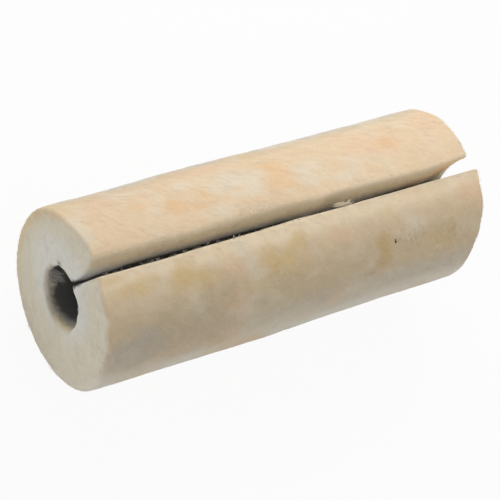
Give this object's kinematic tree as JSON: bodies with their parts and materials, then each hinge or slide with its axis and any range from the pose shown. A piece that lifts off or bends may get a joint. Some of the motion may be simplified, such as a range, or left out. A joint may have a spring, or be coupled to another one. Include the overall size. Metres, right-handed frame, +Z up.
{
  "type": "pipe insulation section",
  "caption": "Thick-walled mineral wool tube for lagging a pipe, with a round bore and an open slit along its whole length.",
  "frame": {"origin": "on the floor under the middle of the tube, which lies on its side with the slit on top", "axes": "+X along the tube and its bore, +Z up, and the slit opens upwards, with its rounder lip on the +Y side"},
  "size_m": [0.61, 0.249, 0.248],
  "materials": {
    "mineral_wool": "matte fibrous wool"
  },
  "bodies": {
    "root": {"wool_pipe_section": "mineral_wool"}
  },
  "joints": []
}
